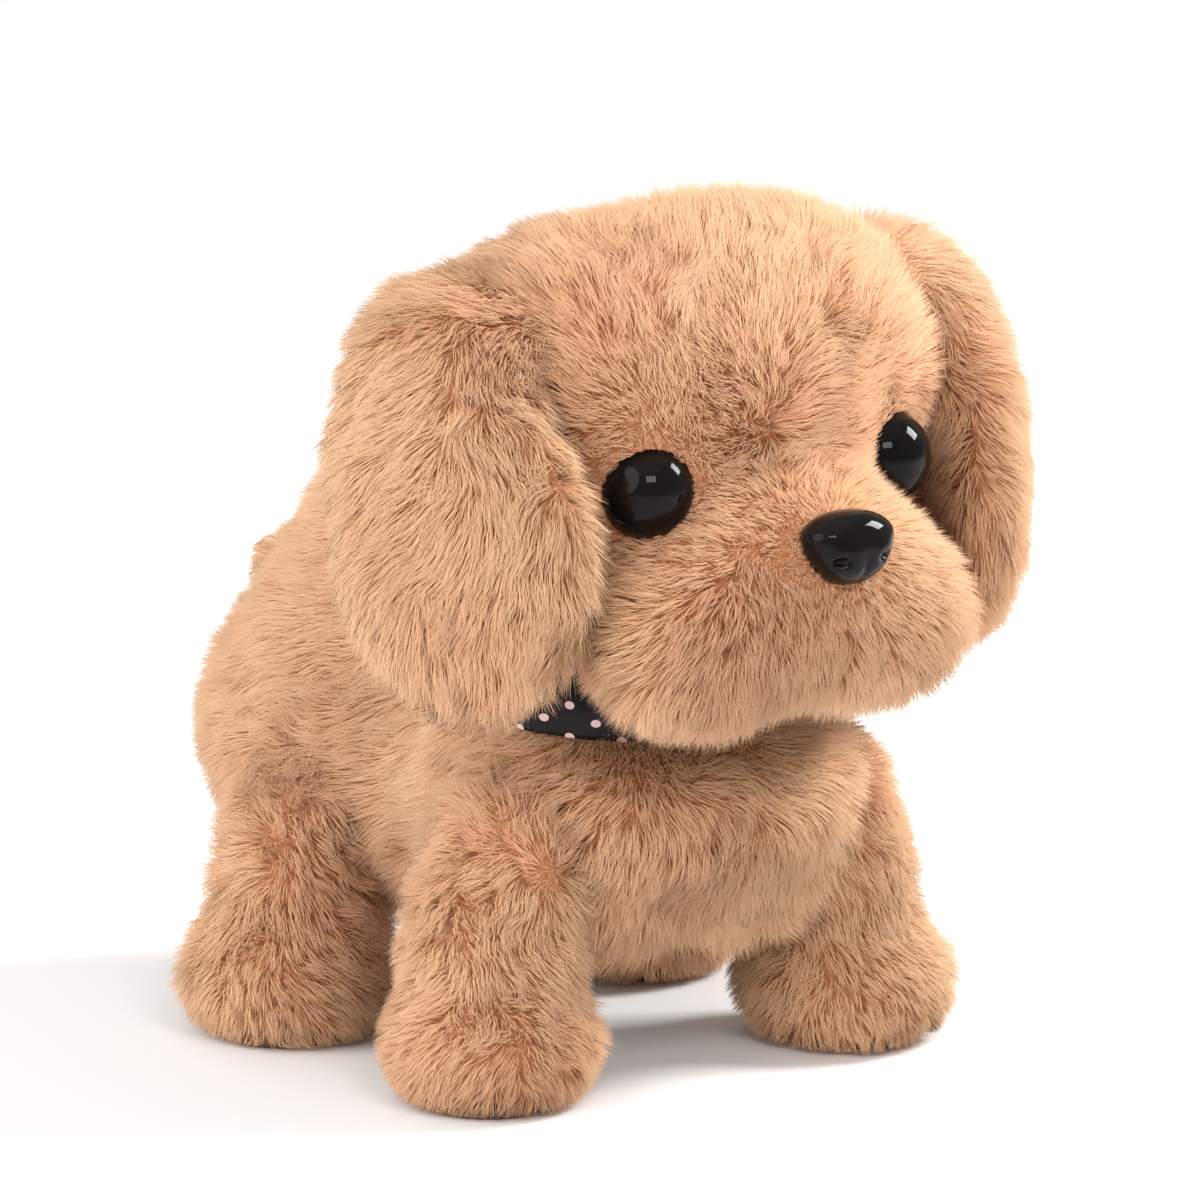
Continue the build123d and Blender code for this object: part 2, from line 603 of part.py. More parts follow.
ear_place = Pos(*EAR_HINGE) * Rotation(0, 0, EAR_TURN)
ear_groove = ear_place * ear_root(0.6)
parts["left_ear"] = ear_place * ear_blade()
parts["right_ear"] = mirrored(parts["left_ear"])


# ---------------------------------------------------------------- head
def eye():
    """Left eye: a glossy dome with a stem behind it."""
    back = EYE_C[1] + EYE_BACK
    dome = Pos(*EYE_C) * Sphere(EYE_R) - box(0, 60, back, 0, 90, 150)
    stem = y_cylinder(EYE_C[0], back + 4.5, EYE_C[2], EYE_STEM_R, EYE_STEM)
    return dome + stem


def washer(x, y, z):
    """A locking washer on a stem that runs along Y."""
    ring = y_cylinder(x, y, z, WASHER_R, WASHER_THICK)
    return ring - y_cylinder(x, y, z, EYE_STEM_R, 3 * WASHER_THICK)


def nose():
    """A moulded nose with two nostrils and a stem."""
    ball = ellipsoid(NOSE_C, NOSE_SEMI)
    for side in (-1, 1):
        ball = ball - Pos(side * 4.6, NOSE_C[1] - 5.6, NOSE_C[2] - 0.5) * Sphere(1.9)
    stem = y_cylinder(0, NOSE_C[1] + 8.5, NOSE_C[2], EYE_STEM_R, EYE_STEM)
    return ball + stem


left_eye = eye()
nose_piece = nose()
left_washer = washer(EYE_C[0], EYE_C[1] + EYE_BACK + 5.0, EYE_C[2])
nose_washer = washer(0, NOSE_C[1] + 9.0, NOSE_C[2])
parts["left_eye"] = left_eye
parts["right_eye"] = mirrored(left_eye)
parts["nose"] = nose_piece
parts["stem_washers"] = Compound(
    [left_washer.solid(), mirrored(left_washer).solid(), nose_washer.solid()]
)

recess = neck_ring(4.5, 40, HEAD_RECESS_TOP)
bracket_room = z_cylinder(0, NOD_Y, 60, 104, 12.5)
head_cuts = [recess, bracket_room, ear_groove, mirrored(ear_groove)]
head_cuts += [left_eye, mirrored(left_eye), nose_piece]
head_cuts += [left_washer, mirrored(left_washer), nose_washer]
head_outside = ellipsoid(*HEAD) + ellipsoid(*MUZZLE)
head_inside = ellipsoid(*HEAD, -PILE)
skull_ball = Pos(*SKULL_C) * Sphere(SKULL_R)
parts["head_cover"] = bored(head_outside, [head_inside] + head_cuts)
parts["head_padding"] = bored(head_inside, [skull_ball] + head_cuts)

skull = skull_ball - skull_inside - bracket_room
parts["skull_front"] = skull & box(-40, 40, -90, SKULL_C[1], 60, 160)
parts["skull_back"] = skull & box(-40, 40, SKULL_C[1], 20, 60, 160)

# ---------------------------------------------------------------- write the pieces
os.makedirs("parts", exist_ok=True)
for name, shape in parts.items():
    placed = Pos(0, Y_SHIFT, 0) * shape
    export_step(placed, f"parts/{name}.step")
print(len(parts), "nodes")
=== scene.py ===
"""Looks of the walking plush puppy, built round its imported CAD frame.

Shapes are worked out in millimetres and turned into metres when a mesh is made. +Z is up,
the puppy faces -Y and its left side is +X. The plush is a smooth skin with real fibres:
each fibre is a small closed tapered spike, gathered into locks.
"""

import json
import math

import bmesh
import bpy
import numpy as np
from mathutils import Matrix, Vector
from mathutils.kdtree import KDTree


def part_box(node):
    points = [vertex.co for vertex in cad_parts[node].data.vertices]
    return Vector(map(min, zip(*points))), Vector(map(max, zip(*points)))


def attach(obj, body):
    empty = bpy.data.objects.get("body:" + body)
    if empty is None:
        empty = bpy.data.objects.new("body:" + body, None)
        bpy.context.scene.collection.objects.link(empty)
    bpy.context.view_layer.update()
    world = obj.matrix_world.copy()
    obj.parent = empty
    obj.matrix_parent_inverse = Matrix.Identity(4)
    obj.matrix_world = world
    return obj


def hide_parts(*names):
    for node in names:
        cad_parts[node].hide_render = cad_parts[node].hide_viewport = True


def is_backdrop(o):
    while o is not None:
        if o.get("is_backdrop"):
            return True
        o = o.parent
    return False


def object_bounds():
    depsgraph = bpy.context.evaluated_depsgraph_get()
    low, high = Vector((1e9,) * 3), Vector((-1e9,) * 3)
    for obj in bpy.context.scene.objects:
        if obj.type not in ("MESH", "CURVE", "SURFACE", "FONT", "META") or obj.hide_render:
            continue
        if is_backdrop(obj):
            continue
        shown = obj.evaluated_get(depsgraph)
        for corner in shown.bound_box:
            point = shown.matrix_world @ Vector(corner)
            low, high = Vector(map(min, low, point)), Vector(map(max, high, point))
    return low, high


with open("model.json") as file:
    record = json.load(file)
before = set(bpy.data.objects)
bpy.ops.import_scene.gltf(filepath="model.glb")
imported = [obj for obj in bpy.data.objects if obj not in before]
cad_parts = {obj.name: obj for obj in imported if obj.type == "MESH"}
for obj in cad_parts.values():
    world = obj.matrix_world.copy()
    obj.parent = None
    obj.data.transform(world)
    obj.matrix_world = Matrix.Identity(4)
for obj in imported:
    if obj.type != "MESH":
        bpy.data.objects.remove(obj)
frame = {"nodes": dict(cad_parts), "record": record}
CAD_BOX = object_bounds()
MM = 0.001


# ---------------------------------------------------------------- places read from the frame
def node_box(node):
    """Lowest and highest corners of a CAD node, in millimetres."""
    low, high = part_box(node)
    return np.array(low) / MM, np.array(high) / MM


JOINTS = {joint["name"]: joint for joint in frame["record"]["behaviour"]["joints"]}


def joint_place(name):
    """A point on a joint's axis, in millimetres."""
    return np.array(JOINTS[name]["pos_m"]) / MM


HIP = joint_place("left_front_leg_swing")
HIND_HIP = joint_place("left_hind_leg_swing")
EAR_HINGE = joint_place("left_ear_lift")
TAIL_ROOT = joint_place("tail_wag")
EYE_LOW, EYE_HIGH = node_box("left_eye")
EYE_R = (EYE_HIGH[0] - EYE_LOW[0]) / 2
EYE = (EYE_LOW + EYE_HIGH) / 2
EYE[1] = EYE_LOW[1] + EYE_R
NOSE_LOW, NOSE_HIGH = node_box("nose")
NOSE_SETBACK = 6.5  # from the nose's tip back to its middle
NOSE = np.array((0.0, NOSE_LOW[1] + NOSE_SETBACK, (NOSE_LOW[2] + NOSE_HIGH[2]) / 2))
BAND_LOW, BAND_HIGH = node_box("neckerchief")
BOX_LOW, BOX_HIGH = node_box("battery_box")

SEED = 11
FLOOR_GAP = 0.5  # fibres end this far above the floor
FUR_DEPTH = 5.0  # the skin lies this far under the fur's outline
LIMB_DEPTH = 4.0  # the same on ears and legs, where the fur is flatter
PAW_OUT = 2.0  # a paw's middle lies this far outside its hip
PAW_BOTTOM = 2.2  # the paw's skin ends here, round the sole pad
LEG_INSIDE_X, LEG_INSIDE_Z = 42.5, 25.0  # a place well inside each leg
SOFT_JOIN = 9.0  # how softly the rounded masses run into each other
LEG_JOIN = 8.0
TAIL_JOIN = 6.0
BELLY = BOX_LOW[2] + 0.8  # the trunk's skin ends here, round the battery box

# ---------------------------------------------------------------- noise
LATTICE_SIDE = 32
LATTICE_SHAPE = (LATTICE_SIDE, LATTICE_SIDE, LATTICE_SIDE, 3)
LATTICE = np.random.default_rng(SEED).uniform(-1, 1, LATTICE_SHAPE)
CHANNEL_STEP = 17.3  # channels read the lattice this far apart
random = np.random.default_rng(SEED)


def lattice_noise(points, size, channel=0):
    """Smooth noise from -1 to 1 whose lumps are about size millimetres wide."""
    spot = points / size + CHANNEL_STEP * channel
    cell = np.floor(spot).astype(int)
    part = spot - cell
    part = part * part * (3 - 2 * part)
    total = np.zeros(len(points))
    for corner in range(8):
        step = np.array([corner & 1, corner >> 1 & 1, corner >> 2 & 1])
        where = (cell + step) % LATTICE_SIDE
        share = np.prod(np.where(step, part, 1 - part), axis=1)
        total += share * LATTICE[where[:, 0], where[:, 1], where[:, 2], channel]
    return total


def noise_vectors(points, size):
    """A smooth field of vectors, each part from -1 to 1."""
    return np.stack([lattice_noise(points, size, channel) for channel in range(3)], axis=1)


def unit(vectors):
    """Vectors scaled to length one."""
    return vectors / np.maximum(np.linalg.norm(vectors, axis=-1, keepdims=True), 1e-9)


# ---------------------------------------------------------------- rounded masses
def ball_distance(points, middle, semi):
    """Roughly how far points are outside an ellipsoid."""
    scaled = (points - middle) / semi
    near = np.linalg.norm(scaled, axis=1)
    slope = np.linalg.norm(scaled / semi, axis=1)
    return near * (near - 1) / np.maximum(slope, 1e-9)


def turned_ball_distance(points, middle, semi, axes):
    """The same for an ellipsoid whose axes are the rows of axes."""
    return ball_distance((points - middle) @ axes.T, np.zeros(3), semi)


def soft_minimum(first, second, join):
    """The smaller of two distances, with a rounded valley where they are alike."""
    overlap = np.maximum(join - np.abs(first - second), 0) / join
    return np.minimum(first, second) - overlap * overlap * join / 4


def masses_distance(masses, join=SOFT_JOIN):
    """A distance function for several balls that run into each other."""

    def distance(points):
        result = None
        for ball in masses:
            measure = turned_ball_distance if len(ball) == 3 else ball_distance
            value = measure(points, *ball)
            result = value if result is None else soft_minimum(result, value, join)
        return result

    return distance


def mass(middle, semi, depth=FUR_DEPTH):
    """A ball this far under the fur's outline."""
    return np.array(middle, float), np.array(semi, float) - depth


def both_sides(middle, semi):
    """The same ball on the puppy's left and on its right."""
    return mass(middle, semi), mass((-middle[0], *middle[1:]), semi)


def mirrored_distance(distance):
    """The same shape on the puppy's right side."""
    return lambda points: distance(points * np.array((-1.0, 1.0, 1.0)))


TRUNK = masses_distance(
    [
        mass((0, 34, 55), (48, 50, 38)),  # rump
        mass((0, 7, 94), (42, 48, 30)),  # shoulders
        mass((0, -27, 53), (44, 40, 26)),  # chest
        mass((0, -20, 66), (36.5, 32, 26)),  # throat
        mass((0, 2, 50), (38, 58, 34)),  # belly
        *both_sides((17, -32, 43), (23, 22, 24)),  # front corners of the chassis
        mass((0, 22, 75), (44, 45, 30)),  # back
        mass((0, 58, 70), (17, 20, 17)),  # tail bracket
    ]
)


def trunk_distance(points):
    """The trunk, cut level at the belly so that the battery box shows."""
    return np.maximum(TRUNK(points), BELLY - points[:, 2])


head_distance = masses_distance(
    [
        mass((0, -41, 123), (51, 36, 45)),  # skull
        *both_sides((26, -38, 135), (26, 31, 29)),  # temples
        mass((0, -68, 99), (32, 24, 24)),  # muzzle
        *both_sides((20, -69, 92), (22, 20.5, 19.5)),  # cheeks
    ]
)

EAR_TURN = math.radians(-28.0)  # the ears face a little forwards
EAR_INSIDE = (20, -6, -24)
# Each ball's place outward, backward and upward from the hinge, and its half sizes.
EAR_BALLS = (
    ((22, -10, -44), (10.0, 26.5, 31.0)),  # flap
    ((17, -2, -24), (11.5, 22.5, 23.0)),  # middle
    ((8.5, -1, -10), (13.5, 19.5, 13.5)),  # fold
    ((1, -4, -6), (12.0, 18.0, 10.5)),  # root
)


def ear_axes(side):
    """Outward, forward-to-back and upward axes of an ear, as rows."""
    outward_axis = np.array((side * math.cos(EAR_TURN), math.sin(EAR_TURN), 0))
    back_axis = np.array((-side * math.sin(EAR_TURN), math.cos(EAR_TURN), 0))
    return np.array((outward_axis, back_axis, (0, 0, 1)))


def ear_shape(side):
    """The distance function of one ear, and a point inside it."""
    axes = ear_axes(side)
    hinge = EAR_HINGE * np.array((side, 1, 1))

    def place(offset):
        return hinge + np.array(offset) @ axes

    balls = [(place(offset), np.array(semi) - LIMB_DEPTH, axes) for offset, semi in EAR_BALLS]
    return masses_distance(balls), place(EAR_INSIDE)


def paw_y(hip):
    """How far back a leg's paw is."""
    return hip[1] + math.copysign(PAW_OUT, hip[1])


def leg_shape(hip):
    """The distance function of one left leg, cut level round the sole pad."""
    leg = masses_distance(
        [
            mass((36.5, hip[1], hip[2]), (13, 20, 20), LIMB_DEPTH),  # thigh
            mass((39.5, hip[1], 28), (17.0, 18.5, 21), LIMB_DEPTH),  # shin
            mass((41.4, paw_y(hip), 10.5), (20.8, 21.8, 17.5), LIMB_DEPTH),  # paw
        ],
        LEG_JOIN,
    )
    return lambda points: np.maximum(leg(points), PAW_BOTTOM - points[:, 2])


tail_distance = masses_distance(
    [
        mass(TAIL_ROOT + (0, 0.5, -2.2), (6.8, 7.2, 8.6), 0),  # hub
        mass(TAIL_ROOT + (0, 11, -4.5), (6.2, 9.8, 6.2), 0),  # stub
    ],
    TAIL_JOIN,
)

# ---------------------------------------------------------------- meshes
RAY_REACH = 140.0
RAY_HALVINGS = 22
SLOPE_STEP = 0.4
# Height in millimetres, width in millimetres and noise channel of the stuffing's lumps.
LUMPS = ((0.9, 17.0, 0), (0.7, 8.0, 1))


def new_mesh_object(name, points, faces):
    """An object from points in millimetres and an array of triangles."""
    mesh = bpy.data.meshes.new(name)
    mesh.vertices.add(len(points))
    mesh.vertices.foreach_set("co", (np.asarray(points) * MM).ravel())
    mesh.loops.add(faces.size)
    mesh.loops.foreach_set("vertex_index", faces.ravel().astype(np.int32))
    mesh.polygons.add(len(faces))
    mesh.polygons.foreach_set("loop_start", np.arange(0, faces.size, 3, dtype=np.int32))
    mesh.update(calc_edges=True)
    piece = bpy.data.objects.new(name, mesh)
    bpy.context.collection.objects.link(piece)
    mesh.shade_smooth()
    return piece


def sphere_directions(detail):
    """Evenly spread unit directions and their triangles."""
    ball = bmesh.new()
    bmesh.ops.create_icosphere(ball, subdivisions=detail, radius=1.0)
    directions = np.array([vertex.co for vertex in ball.verts])
    faces = np.array([[vertex.index for vertex in face.verts] for face in ball.faces])
    ball.free()
    return unit(directions), faces


def surface_points(distance, middle, directions):
    """Where rays from an inner point leave the shape."""
    near = np.zeros(len(directions))
    far = np.full(len(directions), RAY_REACH)
    for _ in range(RAY_HALVINGS):
        half = (near + far) / 2
        inside = distance(middle + directions * half[:, None]) < 0
        near = np.where(inside, half, near)
        far = np.where(inside, far, half)
    return middle + directions * near[:, None]


def outward(distance, points):
    """Unit normals of the shape near its surface."""
    steps = SLOPE_STEP * np.eye(3)
    slopes = [distance(points + step) - distance(points - step) for step in steps]
    return unit(np.stack(slopes, axis=1))


def skin_shape(distance, middle, detail, raised=None):
    """Points, normals and triangles of a skin with soft lumps, raised where its fur is short."""
    directions, faces = sphere_directions(detail)
    points = surface_points(distance, np.array(middle, float), directions)
    normals = outward(distance, points)
    swell = sum(height * lattice_noise(points, size, channel) for height, size, channel in LUMPS)
    if raised is not None:
        swell += raised(points)
    return points + normals * swell[:, None], normals, faces


# ---------------------------------------------------------------- fibres
FIBRES_PER_PIECE = 19000
HIDDEN_DEPTH = 5.5  # no fibres where another plush piece covers the skin this deep
LOCK_SIZE = 30  # fibres to a lock
LENGTH_SPREAD = (0.82, 1.12)
WIDTH_SPREAD = (0.75, 1.2)
FIBRE_WIDTH = 0.095  # from its middle line to its root's corners
LEAN = 0.42
SWIRLS = ((0.9, 15.0), (0.9, 5.0))  # strength and size of the turns in the comb direction
COMBED = 0.9  # comb directions weaker than this stay weak
OWN_WAY = 0.2  # how far a fibre strays from its neighbours
LOWER_RISE, UPPER_RISE = 1.05, 0.75  # how steeply a fibre's two halves stand up
UPPER_LEAN = 0.35  # the upper half leans over this much more
PULL_LEAST, PULL_MORE = 0.2, 0.35  # how strongly a lock draws its tips together
PULL_SIZE = 12.0  # and over what distance that changes
MIDDLE_PULL = 0.8  # the share of that pull at a fibre's middle
TIP_SPREAD, MIDDLE_SPREAD = 0.3, 0.75  # the share of its width a lock keeps there
LOCK_TINT = 0.55  # a fibre's tint is this much its lock's

# A fibre is a closed three-sided spike: three points at its root, three at its middle, a tip.
FIBRE_POINTS = 7
TIP = 6
RING = [(math.cos(turn), math.sin(turn)) for turn in (0, math.tau / 3, 2 * math.tau / 3)]
FIBRE_SIDES = ((0, 1), (1, 2), (2, 0))
FIBRE_FACES = np.array(
    [(2, 1, 0)]
    + [face for a, b in FIBRE_SIDES for face in ((a, b, b + 3), (a, b + 3, a + 3))]
    + [(a + 3, b + 3, TIP) for a, b in FIBRE_SIDES]
)
ALONG = np.array([0, 0, 0, 0.55, 0.55, 0.55, 1.0])
# Where those points lie in the fibre's own cell of the UV map.
CELL_PLACES = np.array([(x, y) for y in (0.15, 0.5) for x in (0.25, 0.5, 0.75)] + [(0.5, 0.85)])
MIDDLE_WIDTH = 0.8
# A fibre is shaded mostly like the skin, with a little of its own roundness and direction.
SKIN_SHARE, SIDE_SHARE, ALONG_SHARE = 0.9, 0.3, 0.1
TIP_ROUNDNESS = 0.3


def scattered(points, normals, faces, density):
    """Fibre roots spread evenly over a skin, with the skin's normals there."""
    corners = points[faces]
    cross = np.cross(corners[:, 1] - corners[:, 0], corners[:, 2] - corners[:, 0])
    area = np.linalg.norm(cross, axis=1) / 2
    count = int(area.sum() * density)
    chosen = random.choice(len(faces), count, p=area / area.sum())
    first, second = random.random(count), random.random(count)
    fold = first + second > 1
    first[fold], second[fold] = 1 - first[fold], 1 - second[fold]
    weights = np.stack([1 - first - second, first, second], axis=1)[:, :, None]
    roots = (points[faces[chosen]] * weights).sum(axis=1)
    return roots, unit((normals[faces[chosen]] * weights).sum(axis=1))


def lock_of(roots):
    """For each root, the root that leads its lock, and the lock's number."""
    leads = random.choice(len(roots), max(len(roots) // LOCK_SIZE, 1), replace=False)
    tree = KDTree(len(leads))
    for place, lead in enumerate(leads):
        tree.insert(roots[lead], place)
    tree.balance()
    nearest = np.array([tree.find(root)[1] for root in roots])
    return leads[nearest], nearest


def fibre_normals(skin_normal, side, direction):
    """Soft shading normals for points on this side of their fibres."""
    return unit(SKIN_SHARE * skin_normal + SIDE_SHARE * side + ALONG_SHARE * direction)


def fibre_piece(name, roots, normals, mids, tips, width, tint):
    """One mesh of many spikes, with its UV cells and its colour values."""
    count = len(roots)
    direction = unit(tips - roots)
    across = unit(np.cross(normals, direction))
    upward = np.cross(direction, across)
    points = np.empty((count, FIBRE_POINTS, 3))
    shading = np.empty((count, FIBRE_POINTS, 3))
    for corner, (cosine, sine) in enumerate(RING):
        side = across * cosine + upward * sine
        points[:, corner] = roots + side * width[:, None]
        points[:, corner + 3] = mids + side * width[:, None] * MIDDLE_WIDTH
        shading[:, corner] = fibre_normals(normals, side, direction)
        shading[:, corner + 3] = shading[:, corner]
    points[:, TIP] = tips
    shading[:, TIP] = fibre_normals(normals, upward * TIP_ROUNDNESS, direction)
    starts = FIBRE_POINTS * np.arange(count)[:, None, None]
    faces = (FIBRE_FACES + starts).reshape(-1, 3)
    piece = new_mesh_object(name, points.reshape(-1, 3), faces)
    piece.data.normals_split_custom_set_from_vertices(shading.reshape(-1, 3))
    add_fibre_values(piece.data, faces, count, tint)
    return piece


def add_fibre_values(mesh, faces, count, tint):
    """A UV cell for each fibre, and its along and tint values for the material."""
    columns = math.ceil(math.sqrt(count))
    cell = np.stack([np.arange(count) % columns, np.arange(count) // columns], axis=1) / columns
    places = (cell[:, None] + CELL_PLACES / columns).reshape(-1, 2)
    layer = mesh.uv_layers.new(name="OFBake")
    layer.data.foreach_set("uv", places[faces.ravel()].ravel())
    values = {"along": np.tile(ALONG, count), "tint": np.repeat(tint, FIBRE_POINTS)}
    for name, value in values.items():
        mesh.attributes.new(name, "FLOAT", "POINT").data.foreach_set("value", value)


def grow_fur(name, skin, guide, density, length, hidden_by, keep, lean):
    """Fibres of one plush piece: roots, locks, lengths and bends, in pieces of many fibres."""
    roots, upward = scattered(*skin, density)
    shown = np.ones(len(roots), bool)
    for distance in hidden_by:
        shown &= distance(roots) > -HIDDEN_DEPTH
    if keep is not None:
        shown &= keep(roots)
    roots, upward = roots[shown], upward[shown]
    half = length(roots)[:, None] * random.uniform(*LENGTH_SPREAD, len(roots))[:, None] / 2
    leads, lock = lock_of(roots)
    flow = guide(roots) + sum(strength * noise_vectors(roots, size) for strength, size in SWIRLS)
    flow = flow - upward * (flow * upward).sum(axis=1, keepdims=True)
    flow = flow / np.maximum(np.linalg.norm(flow, axis=1, keepdims=True), COMBED)
    own = random.normal(0, OWN_WAY, roots.shape)
    lower = unit(upward * (LOWER_RISE - lean / 2) + flow * lean + own)
    upper = unit(upward * (UPPER_RISE - lean / 2) + flow * (lean + UPPER_LEAN) + own)
    mids = roots + lower * half
    tips = mids + upper * half
    pull = PULL_LEAST + PULL_MORE * (lattice_noise(roots, PULL_SIZE, 2)[:, None] + 1) / 2
    gap = roots - roots[leads]
    tips += (tips[leads] + gap * TIP_SPREAD - tips) * pull
    mids += (mids[leads] + gap * MIDDLE_SPREAD - mids) * pull * MIDDLE_PULL
    for points in (mids, tips):
        points[:, 2] = np.maximum(points[:, 2], FLOOR_GAP)
    lock_tint = random.uniform(0, 1, lock.max() + 1)[lock]
    tint = LOCK_TINT * lock_tint + (1 - LOCK_TINT) * random.uniform(0, 1, len(roots))
    width = FIBRE_WIDTH * random.uniform(*WIDTH_SPREAD, len(roots))
    pieces = []
    for number, start in enumerate(range(0, len(roots), FIBRES_PER_PIECE)):
        part = slice(start, start + FIBRES_PER_PIECE)
        values = (array[part] for array in (roots, upward, mids, tips, width, tint))
        pieces.append(fibre_piece(f"{name}_{number + 1}", *values))
    return pieces


# ---------------------------------------------------------------- materials
DOT_STEP = 9.0
DOT_ROW = 3.5
DOT_R = 0.85
WEAVE_TURN = 14.0  # radians of the satin's weave to a millimetre
UNEVEN = 0.82  # the darkest places of moulded pieces have this share of their colour


def colour(red, green, blue):
    """A colour given as 0 to 255 screen values."""
    straight = []
    for value in (red, green, blue):
        share = value / 255
        straight.append(share / 12.92 if share <= 0.04045 else ((share + 0.055) / 1.055) ** 2.4)
    return (*straight, 1.0)


def grey(share):
    """A grey for ramps that give a share and not a colour."""
    return (share, share, share, 1)


CREAM = colour(244, 207, 172)
SAND = colour(226, 176, 132)
PEACH = colour(222, 160, 124)
# painted shade: the saturated orange of the fur's shaded depths, used at the fibres' roots and
# on the backing
FUR_SHADE = colour(184, 122, 84)
BLUSH = colour(240, 194, 162)


class Nodes:
    """A short way to write a node material."""

    def __init__(self, name):
        self.material = bpy.data.materials.new(name)
        self.material.use_nodes = True
        self.tree = self.material.node_tree
        self.shader = self.tree.nodes["Principled BSDF"]

    def add(self, kind, **values):
        """A node, with its settings and its constant inputs."""
        node = self.tree.nodes.new(kind)
        for key, value in values.items():
            if hasattr(node, key):
                setattr(node, key, value)
            else:
                node.inputs[key.replace("_", " ")].default_value = value
        return node

    def link(self, start, end):
        """Joins two sockets."""
        self.tree.links.new(start, end)

    def feed(self, value, socket):
        """Gives a socket a constant or another node's output."""
        if hasattr(value, "node"):
            self.link(value, socket)
        else:
            socket.default_value = value

    def paint(self, shade, **values):
        """The shader's base colour, and constants for its other inputs."""
        self.feed(shade, self.shader.inputs["Base Color"])
        for key, value in values.items():
            self.shader.inputs[key.replace("_", " ")].default_value = value

    def noise(self, scale, detail=3.0, rough=0.55):
        """Noise from 0 to 1 with this many lumps to a metre."""
        place = self.add("ShaderNodeTexCoord")
        noise = self.add("ShaderNodeTexNoise", Scale=scale, Detail=detail, Roughness=rough)
        self.link(place.outputs["Object"], noise.inputs["Vector"])
        return noise.outputs["Fac"]

    def ramp(self, value, *stops):
        """A colour that changes with a value, from stops of place and colour."""
        ramp = self.add("ShaderNodeValToRGB")
        for element, (at, shade) in zip(ramp.color_ramp.elements, stops, strict=True):
            element.position = at
            element.color = shade
        self.link(value, ramp.inputs["Fac"])
        return ramp.outputs["Color"]

    def mix(self, first, second, share):
        """A colour between two others."""
        mix = self.add("ShaderNodeMix", data_type="RGBA")
        for value, place in ((share, 0), (first, 6), (second, 7)):
            self.feed(value, mix.inputs[place])
        return mix.outputs[2]

    def maths(self, kind, first, second=0.0):
        """One step of arithmetic."""
        step = self.add("ShaderNodeMath", operation=kind)
        self.feed(first, step.inputs[0])
        self.feed(second, step.inputs[1])
        return step.outputs[0]

    def bump(self, height, strength, distance):
        """Fine relief on the shader's normal, with its depth in metres."""
        bump = self.add("ShaderNodeBump", Strength=strength, Distance=distance)
        self.link(height, bump.inputs["Height"])
        self.link(bump.outputs["Normal"], self.shader.inputs["Normal"])


def plush_patches(nodes):
    """Slow change of the dye over the body, between peach and sand."""
    return nodes.ramp(nodes.noise(28.0, 4.0), (0.36, PEACH), (0.64, SAND))


def fur_material():
    """Fibres: darker orange at the root as painted shade deep in the fur, creamy at the tip,
    each lock a little different.
    """
    nodes = Nodes("plush_fibres")
    along = nodes.add("ShaderNodeAttribute", attribute_name="along").outputs["Fac"]
    tint = nodes.add("ShaderNodeAttribute", attribute_name="tint").outputs["Fac"]
    middle = nodes.mix(plush_patches(nodes), SAND, tint)
    # painted shade: each fibre darkens to the shade orange towards its root
    lower = nodes.mix(FUR_SHADE, middle, nodes.ramp(along, (0.0, grey(0)), (0.5, grey(1))))
    pale = nodes.ramp(nodes.noise(22.0, 3.0), (0.38, BLUSH), (0.62, CREAM))
    whole = nodes.mix(lower, pale, nodes.ramp(along, (0.45, grey(0)), (1.0, grey(0.75))))
    nodes.paint(
        whole,
        Roughness=0.9,
        Specular_IOR_Level=0.12,
        Sheen_Weight=0.12,
        Sheen_Roughness=0.5,
        Sheen_Tint=SAND,
    )
    return nodes.material


def skin_material():
    """The knitted backing under the fibres, seen only between them, its dye darkened by painted
    shade of the fur's depths.
    """
    nodes = Nodes("plush_backing")
    fine = nodes.noise(900.0, 4.0)
    # painted shade: the backing is half dye and half the shade orange, with more shade in places
    # of the knit
    deep = nodes.mix(FUR_SHADE, plush_patches(nodes), 0.5)
    whole = nodes.mix(deep, FUR_SHADE, nodes.ramp(fine, (0.4, grey(0)), (0.7, grey(0.6))))
    nodes.paint(whole, Roughness=0.95, Specular_IOR_Level=0.1)
    nodes.bump(fine, 0.6, 0.0006)
    return nodes.material


def gloss_black():
    """Polished black acrylic with the faintest polishing swirl."""
    nodes = Nodes("black_gloss")
    shade = nodes.ramp(nodes.noise(60.0), (0.3, colour(10, 9, 9)), (0.7, colour(20, 17, 16)))
    nodes.paint(shade, Roughness=0.05, Specular_IOR_Level=0.13)
    return nodes.material


def moulded(name, shade, rough, grain=450.0, deep=0.25, metal=0.0):
    """Moulded plastic, rubber or metal with a fine grain and slight unevenness."""
    nodes = Nodes(name)
    darker = (*(value * UNEVEN for value in shade[:3]), 1.0)
    uneven = nodes.ramp(nodes.noise(90.0), (0.3, darker), (0.7, shade))
    nodes.paint(uneven, Roughness=rough, Metallic=metal)
    nodes.bump(nodes.noise(grain, 2.0), deep, 0.0002)
    return nodes.material


